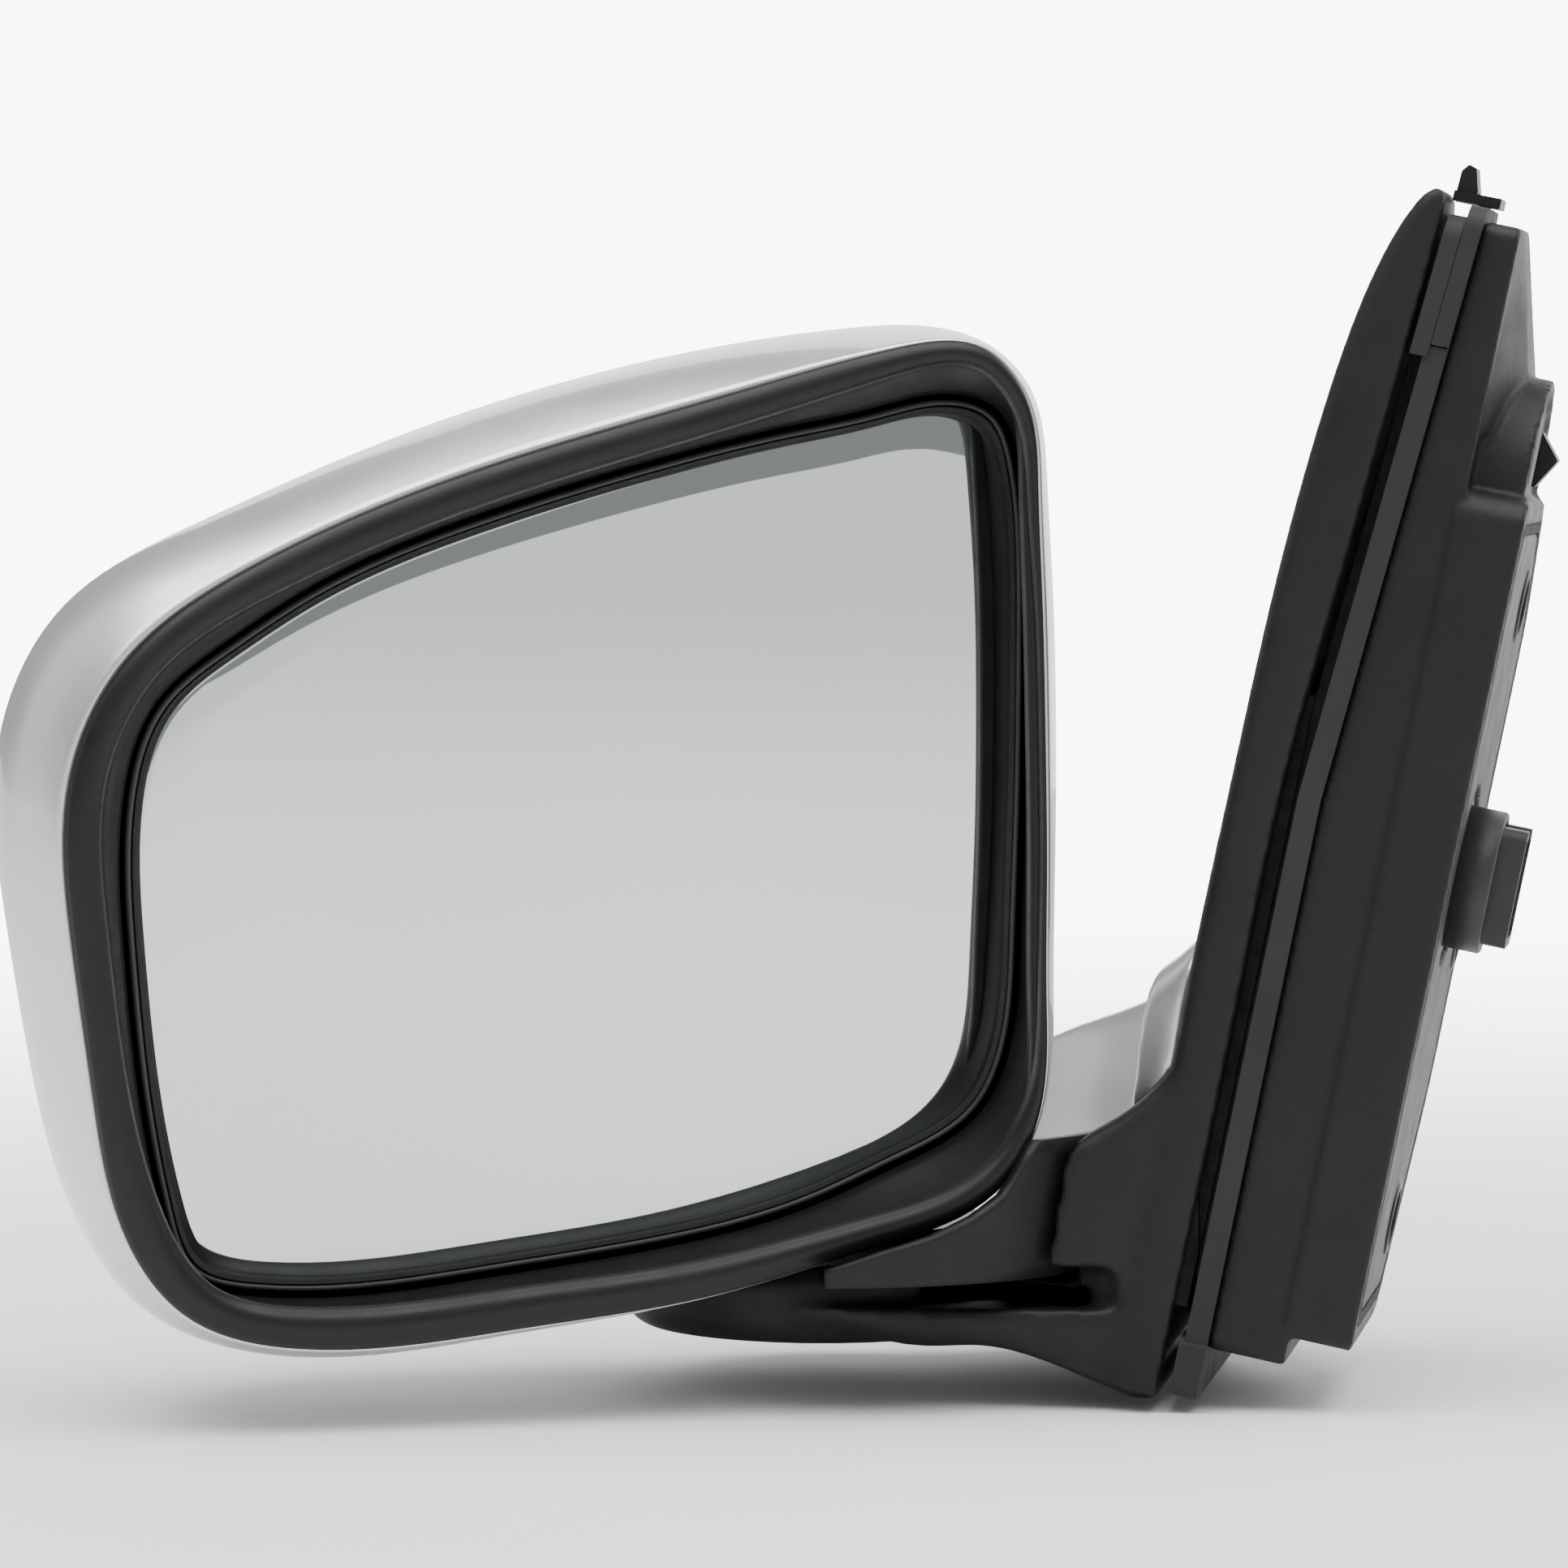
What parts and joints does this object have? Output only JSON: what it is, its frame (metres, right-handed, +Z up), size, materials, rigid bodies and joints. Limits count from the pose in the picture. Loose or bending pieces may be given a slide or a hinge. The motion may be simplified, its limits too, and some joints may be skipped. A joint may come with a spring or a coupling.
{
  "type": "car side mirror",
  "caption": "Left-hand car door mirror with a power-adjusted glass in a folding painted head on a black arm and a stepped sail base.",
  "frame": {"origin": "centre of the mounting pad's face, where the mirror meets the door", "axes": "+X inboard, towards the door and square to the driving direction, +Y forward, the way the car drives, +Z up; the mounting face leans 11.5 degrees about +Y"},
  "size_m": [0.3041, 0.1937, 0.2459],
  "materials": {
    "silver_paint": "metallic clear-coated paint",
    "black_trim": "satin",
    "black_grain": "fine grain",
    "rubber": "matte",
    "foam": "foam",
    "cast_alloy": "black coated casting",
    "frame_plastic": "glass-filled",
    "zinc_steel": "zinc plated",
    "connector_plastic": "moulded",
    "pin_metal": "tinned",
    "nylon": "natural nylon",
    "spring_steel": "oiled",
    "drive_plastic": "moulded",
    "mirror_glass": "silvered",
    "motor_can": "plated",
    "wire_tape": "taped"
  },
  "bodies": {
    "base": {"arm_fairing": "silver_paint", "base_bracket": "cast_alloy", "base_cover": "black_grain", "base_harness": "wire_tape", "base_screws": "zinc_steel", "connector_body": "connector_plastic", "connector_pins": "pin_metal", "door_base": "black_grain", "door_nuts": "zinc_steel", "door_seal": "rubber", "harness_grommet": "rubber", "locating_hook": "black_trim", "locating_tab": "black_trim", "lower_detent": "zinc_steel", "pad_seal": "foam", "pivot_shaft": "zinc_steel", "pivot_spring": "spring_steel", "pivot_washer": "nylon", "pod_plug": "black_trim", "spring_retainer": "zinc_steel", "upper_seal": "rubber"},
    "head": {"housing_shell": "silver_paint", "bezel": "black_trim", "head_frame": "frame_plastic", "neck_skirt": "black_trim", "upper_detent": "zinc_steel", "actuator_base": "drive_plastic", "actuator_cover": "drive_plastic", "actuator_screws": "zinc_steel", "tilt_motor": "motor_can", "pan_motor": "motor_can", "head_harness": "wire_tape", "actuator_plug": "connector_plastic"},
    "gimbal": {"gimbal_cross": "nylon"},
    "glass": {"glass_holder": "drive_plastic", "adhesive_pad": "foam", "mirror_glass": "mirror_glass"},
    "tilt_jack": {"tilt_jack": "nylon"},
    "pan_jack": {"pan_jack": "nylon"},
    "tilt_gear": {"tilt_gear": "nylon"},
    "pan_gear": {"pan_gear": "nylon"},
    "tilt_worm": {"tilt_worm": "nylon"},
    "pan_worm": {"pan_worm": "nylon"}
  },
  "joints": [
    {"name": "head_fold", "type": "hinge", "parent": "base", "child": "head", "pos_m": [-0.129, 0, 0], "axis": [0, 0, 1], "range_deg": [-60, 60]},
    {"name": "glass_tilt", "type": "hinge", "parent": "head", "child": "gimbal", "pos_m": [-0.17384, -0.05054, 0.01651], "axis": [0.9026, 0.4305, 0.0023], "range_deg": [-7, 7]},
    {"name": "glass_pan", "type": "hinge", "parent": "gimbal", "child": "glass", "pos_m": [-0.17384, -0.05054, 0.01651], "axis": [0.0354, -0.0796, 0.9962], "range_deg": [-7, 7]},
    {"name": "tilt_jack_travel", "type": "slide", "parent": "head", "child": "tilt_jack", "axis": [-0.429, 0.8991, 0.0871], "range_m": [-0.004, 0.004]},
    {"name": "pan_jack_travel", "type": "slide", "parent": "head", "child": "pan_jack", "axis": [-0.429, 0.8991, 0.0871], "range_m": [-0.004, 0.004]},
    {"name": "tilt_gear_spin", "type": "hinge", "parent": "head", "child": "tilt_gear", "pos_m": [-0.1749, -0.04815, -0.01337], "axis": [-0.429, 0.8991, 0.0871], "range_deg": [-441.8, 441.8]},
    {"name": "pan_gear_spin", "type": "hinge", "parent": "head", "child": "pan_gear", "pos_m": [-0.14676, -0.03762, 0.01658], "axis": [-0.429, 0.8991, 0.0871], "range_deg": [-441.8, 441.8]},
    {"name": "tilt_worm_spin", "type": "hinge", "parent": "head", "child": "tilt_worm", "pos_m": [-0.18177, -0.03382, 0.00006], "axis": [0.9026, 0.4305, 0.0023], "range_deg": [-10613.2, 10613.2]},
    {"name": "pan_worm_spin", "type": "hinge", "parent": "head", "child": "pan_worm", "pos_m": [-0.16488, -0.02751, 0.01803], "axis": [0.0354, -0.0796, 0.9962], "range_deg": [-10613.2, 10613.2]}
  ],
  "couplings": [
    {"joint": "tilt_jack_travel", "follows": "glass_tilt", "m_per_rad": 0.03},
    {"joint": "pan_jack_travel", "follows": "glass_pan", "m_per_rad": 0.03},
    {"joint": "tilt_gear_spin", "follows": "glass_tilt", "ratio": 62.832},
    {"joint": "pan_gear_spin", "follows": "glass_pan", "ratio": 62.832},
    {"joint": "tilt_worm_spin", "follows": "glass_tilt", "ratio": 1508},
    {"joint": "pan_worm_spin", "follows": "glass_pan", "ratio": 1508}
  ]
}
